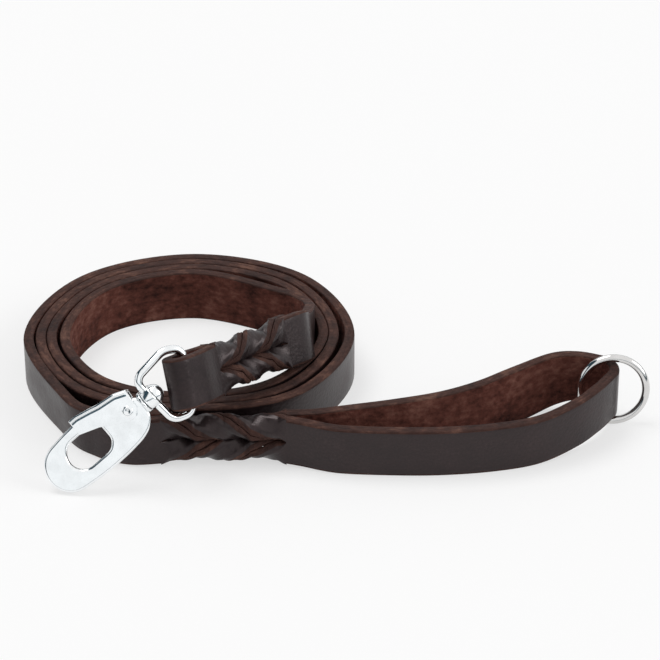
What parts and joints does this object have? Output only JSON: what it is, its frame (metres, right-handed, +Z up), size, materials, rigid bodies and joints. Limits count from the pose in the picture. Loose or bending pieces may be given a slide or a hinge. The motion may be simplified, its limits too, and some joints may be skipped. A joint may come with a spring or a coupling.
{
  "type": "training leash",
  "caption": "Coiled flat leather leash with slit-and-twisted braids, a swivel snap hook on one end and a hand loop with an O-ring on the other.",
  "frame": {"origin": "middle of the whole leash's outline, on the floor", "axes": "+X from the coil to the hand loop, +Y away from the hook side, +Z up"},
  "size_m": [0.2466, 0.1491, 0.0522],
  "materials": {
    "leather": "dark oiled grain with rough reddish flesh side",
    "plated_steel": "bright plated",
    "nickel": "polished nickel",
    "spring_steel": "plain spring steel"
  },
  "bodies": {
    "leash": {"lead_strap": "leather", "snap_braid_main_upper": "leather", "snap_braid_main_lower": "leather", "snap_braid_tail_upper": "leather", "snap_braid_tail_lower": "leather", "snap_fold": "leather", "snap_tail": "leather", "handle_braid_main_upper": "leather", "handle_braid_main_lower": "leather", "handle_braid_tail_upper": "leather", "handle_braid_tail_lower": "leather", "handle_loop": "leather", "handle_tail": "leather"},
    "ring": {"handle_ring": "nickel"},
    "bail_body": {"bail": "plated_steel", "bail_eye": "plated_steel"},
    "hook": {"swivel_stud": "plated_steel", "hook_plate": "plated_steel", "gate_rivet": "plated_steel", "gate_spring": "spring_steel"},
    "gate_body": {"gate": "plated_steel"}
  },
  "joints": [
    {"name": "bail_swing", "type": "hinge", "parent": "leash", "child": "bail_body", "pos_m": [-0.05492, -0.05282, 0.03797], "axis": [-0.1866, 0.3407, 0.9215], "range_deg": [0, 80]},
    {"name": "hook_swivel", "type": "hinge", "parent": "bail_body", "child": "hook", "pos_m": [-0.06875, -0.06038, 0.03514], "axis": [-0.7517, -0.2139, -0.6238], "continuous": true},
    {"name": "gate_open", "type": "hinge", "parent": "hook", "child": "gate_body", "pos_m": [-0.07703, -0.06193, 0.02994], "axis": [-0.105, -0.895, 0.4335], "range_deg": [0, 22], "stiffness_Nm_per_rad": 0.02, "springref_deg": -11.46},
    {"name": "ring_slide", "type": "hinge", "parent": "leash", "child": "ring", "pos_m": [0.1005, -0.02148, 0.01397], "axis": [0, 0, 1], "range_deg": [-30, 30]}
  ]
}
